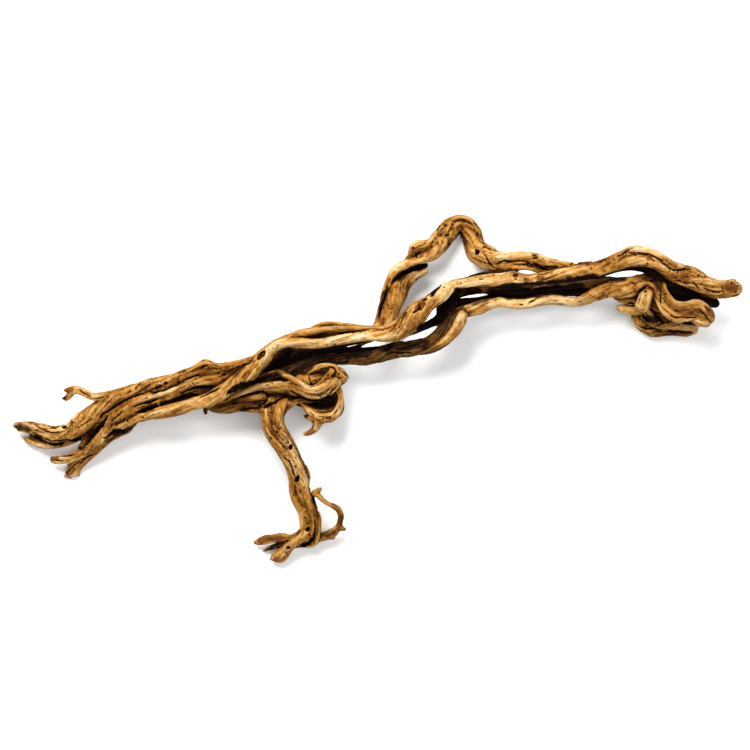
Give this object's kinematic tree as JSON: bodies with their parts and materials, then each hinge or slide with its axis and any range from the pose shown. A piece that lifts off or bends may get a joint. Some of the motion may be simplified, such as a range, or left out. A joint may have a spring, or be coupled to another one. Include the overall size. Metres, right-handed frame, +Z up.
{
  "type": "dried branch",
  "caption": "Long dried vine branch: a gnarled bundle of fused stems with roots at one end, an arch above, a side leg with a splayed foot, and a knotted clump at the tip.",
  "frame": {"origin": "centre of the branch's plan outline, on the surface that it lies on", "axes": "+X along the branch from the rooted end to the clump, +Y towards the arch, +Z up"},
  "size_m": [0.7275, 0.3498, 0.0741],
  "materials": {
    "wood": "dry, sanded bare wood, golden tan with dark brown cracks and hollows"
  },
  "bodies": {
    "root": {"branch": "wood"}
  },
  "joints": []
}
